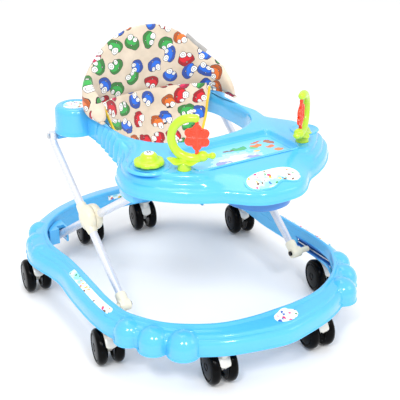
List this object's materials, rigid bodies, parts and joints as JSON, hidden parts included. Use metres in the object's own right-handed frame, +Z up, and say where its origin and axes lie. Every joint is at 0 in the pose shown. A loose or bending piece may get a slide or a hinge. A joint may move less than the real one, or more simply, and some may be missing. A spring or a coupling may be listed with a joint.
{
  "type": "baby walker",
  "caption": "Baby walker with a ring base on twin swivel casters, folding crossed legs, moulded play tray with ring toys, and a high padded sling seat.",
  "frame": {"origin": "on the floor under the middle of the base ring", "axes": "+Z up, -Y towards the tray and the front of the walker, +X to the walker side that is on the right when it is seen from the front"},
  "size_m": [0.5801, 0.7227, 0.548],
  "materials": {
    "blue_plastic": "high gloss sky blue polypropylene",
    "panel_plastic": null,
    "cream_plastic": "satin cream nylon",
    "white_tube": "satin white powder coat on steel tube",
    "steel": "plain steel",
    "black_wheel": "gloss black",
    "green_plastic": "gloss yellow green",
    "red_plastic": "gloss orange red",
    "fabric_print": null,
    "board": "hardboard stiffener",
    "label": "laminated label without lettering"
  },
  "bodies": {
    "base": {"base_ring": "blue_plastic", "caster_sockets": "steel", "rear_brackets": "blue_plastic", "rear_pivot_pins": "steel", "slide_rails": "steel"},
    "caster_1": {"caster_fork_1": "cream_plastic"},
    "wheels_1": {"caster_axle_1": "steel", "caster_wheels_1": "black_wheel"},
    "caster_2": {"caster_fork_2": "cream_plastic"},
    "wheels_2": {"caster_axle_2": "steel", "caster_wheels_2": "black_wheel"},
    "caster_3": {"caster_fork_3": "cream_plastic"},
    "wheels_3": {"caster_axle_3": "steel", "caster_wheels_3": "black_wheel"},
    "caster_4": {"caster_fork_4": "cream_plastic"},
    "wheels_4": {"caster_axle_4": "steel", "caster_wheels_4": "black_wheel"},
    "caster_5": {"caster_fork_5": "cream_plastic"},
    "wheels_5": {"caster_axle_5": "steel", "caster_wheels_5": "black_wheel"},
    "caster_6": {"caster_fork_6": "cream_plastic"},
    "wheels_6": {"caster_axle_6": "steel", "caster_wheels_6": "black_wheel"},
    "caster_7": {"caster_fork_7": "cream_plastic"},
    "wheels_7": {"caster_axle_7": "steel", "caster_wheels_7": "black_wheel"},
    "caster_8": {"caster_fork_8": "cream_plastic"},
    "wheels_8": {"caster_axle_8": "steel", "caster_wheels_8": "black_wheel"},
    "inner_legs": {"leg_tube_b_left": "white_tube", "leg_tube_b_right": "white_tube", "hub_inner_left": "cream_plastic", "hub_inner_right": "cream_plastic"},
    "outer_legs": {"leg_tube_a_left": "white_tube", "leg_tube_a_right": "white_tube", "hub_outer_left": "cream_plastic", "hub_outer_right": "cream_plastic", "hub_pins": "steel", "slide_feet": "cream_plastic", "foot_bolts": "steel"},
    "tray": {"tray_shell": "blue_plastic", "ear_pins": "steel", "ear_discs": "label", "play_panel": "panel_plastic", "tray_channels": "blue_plastic", "sound_box": "blue_plastic", "sound_box_speaker": "board", "seat_board": "board", "seat_back": "fabric_print", "seat_sling": "fabric_print", "sling_hooks": "cream_plastic", "knob_spring": "steel"},
    "toy_left": {"toy_ring_left": "green_plastic", "flower_pin_left": "steel"},
    "spinner_left": {"flower_left": "red_plastic"},
    "toy_right": {"toy_ring_right": "green_plastic", "flower_pin_right": "steel"},
    "spinner_right": {"flower_right": "red_plastic"},
    "knob": {"press_knob": "green_plastic"}
  },
  "joints": [
    {"name": "swivel_1", "type": "hinge", "parent": "base", "child": "caster_1", "pos_m": [-0.262, 0.172, 0.09], "axis": [0, 0, 1], "continuous": true},
    {"name": "roll_1", "type": "hinge", "parent": "caster_1", "child": "wheels_1", "pos_m": [-0.26005, 0.18586, 0.035], "axis": [-0.9903, 0.1392, 0], "continuous": true},
    {"name": "swivel_2", "type": "hinge", "parent": "base", "child": "caster_2", "pos_m": [-0.254, -0.148, 0.09], "axis": [0, 0, 1], "continuous": true},
    {"name": "roll_2", "type": "hinge", "parent": "caster_2", "child": "wheels_2", "pos_m": [-0.25109, -0.13431, 0.035], "axis": [-0.9781, 0.2079, 0], "continuous": true},
    {"name": "swivel_3", "type": "hinge", "parent": "base", "child": "caster_3", "pos_m": [-0.11, -0.309, 0.09], "axis": [0, 0, 1], "continuous": true},
    {"name": "roll_3", "type": "hinge", "parent": "caster_3", "child": "wheels_3", "pos_m": [-0.10757, -0.29521, 0.035], "axis": [-0.9848, 0.1736, 0], "continuous": true},
    {"name": "swivel_4", "type": "hinge", "parent": "base", "child": "caster_4", "pos_m": [0.11, -0.309, 0.09], "axis": [0, 0, 1], "continuous": true},
    {"name": "roll_4", "type": "hinge", "parent": "caster_4", "child": "wheels_4", "pos_m": [0.11171, -0.2951, 0.035], "axis": [-0.9925, 0.1219, 0], "continuous": true},
    {"name": "swivel_5", "type": "hinge", "parent": "base", "child": "caster_5", "pos_m": [0.254, -0.148, 0.09], "axis": [0, 0, 1], "continuous": true},
    {"name": "roll_5", "type": "hinge", "parent": "caster_5", "child": "wheels_5", "pos_m": [0.25667, -0.13426, 0.035], "axis": [-0.9816, 0.1908, 0], "continuous": true},
    {"name": "swivel_6", "type": "hinge", "parent": "base", "child": "caster_6", "pos_m": [0.258, 0.172, 0.09], "axis": [0, 0, 1], "continuous": true},
    {"name": "roll_6", "type": "hinge", "parent": "caster_6", "child": "wheels_6", "pos_m": [0.26019, 0.18583, 0.035], "axis": [-0.9877, 0.1564, 0], "continuous": true},
    {"name": "swivel_7", "type": "hinge", "parent": "base", "child": "caster_7", "pos_m": [0.07, 0.31, 0.09], "axis": [0, 0, 1], "continuous": true},
    {"name": "roll_7", "type": "hinge", "parent": "caster_7", "child": "wheels_7", "pos_m": [0.07243, 0.32379, 0.035], "axis": [-0.9848, 0.1736, 0], "continuous": true},
    {"name": "swivel_8", "type": "hinge", "parent": "base", "child": "caster_8", "pos_m": [-0.07, 0.31, 0.09], "axis": [0, 0, 1], "continuous": true},
    {"name": "roll_8", "type": "hinge", "parent": "caster_8", "child": "wheels_8", "pos_m": [-0.06805, 0.32386, 0.035], "axis": [-0.9903, 0.1392, 0], "continuous": true},
    {"name": "leg_fold", "type": "hinge", "parent": "base", "child": "inner_legs", "pos_m": [0, 0.228, 0.09], "axis": [1, 0, 0], "range_deg": [0, 29]},
    {"name": "leg_cross", "type": "hinge", "parent": "inner_legs", "child": "outer_legs", "pos_m": [0, 0.042, 0.211], "axis": [1, 0, 0], "range_deg": [-63.5, 0]},
    {"name": "tray_level", "type": "hinge", "parent": "outer_legs", "child": "tray", "pos_m": [0, 0.186, 0.338], "axis": [1, 0, 0], "range_deg": [0, 34.5]},
    {"name": "toy_turn_left", "type": "hinge", "parent": "tray", "child": "toy_left", "pos_m": [-0.126, -0.208, 0.39], "axis": [0, 0, 1], "range_deg": [-45, 45]},
    {"name": "flower_spin_left", "type": "hinge", "parent": "toy_left", "child": "spinner_left", "pos_m": [-0.10915, -0.22214, 0.446], "axis": [0, 0, 1], "continuous": true},
    {"name": "toy_turn_right", "type": "hinge", "parent": "tray", "child": "toy_right", "pos_m": [0.126, -0.208, 0.39], "axis": [0, 0, 1], "range_deg": [-45, 45]},
    {"name": "flower_spin_right", "type": "hinge", "parent": "toy_right", "child": "spinner_right", "pos_m": [0.10915, -0.22214, 0.446], "axis": [0, 0, 1], "continuous": true},
    {"name": "knob_press", "type": "slide", "parent": "tray", "child": "knob", "axis": [0, 0, -1], "range_m": [0, 0.003], "stiffness_N_per_m": 300, "springref_m": -0.001, "deforming": ["knob_spring"]}
  ],
  "couplings": [
    {"joint": "leg_cross", "follows": "leg_fold", "ratio": -2.18},
    {"joint": "tray_level", "follows": "leg_fold", "ratio": 1.18}
  ]
}
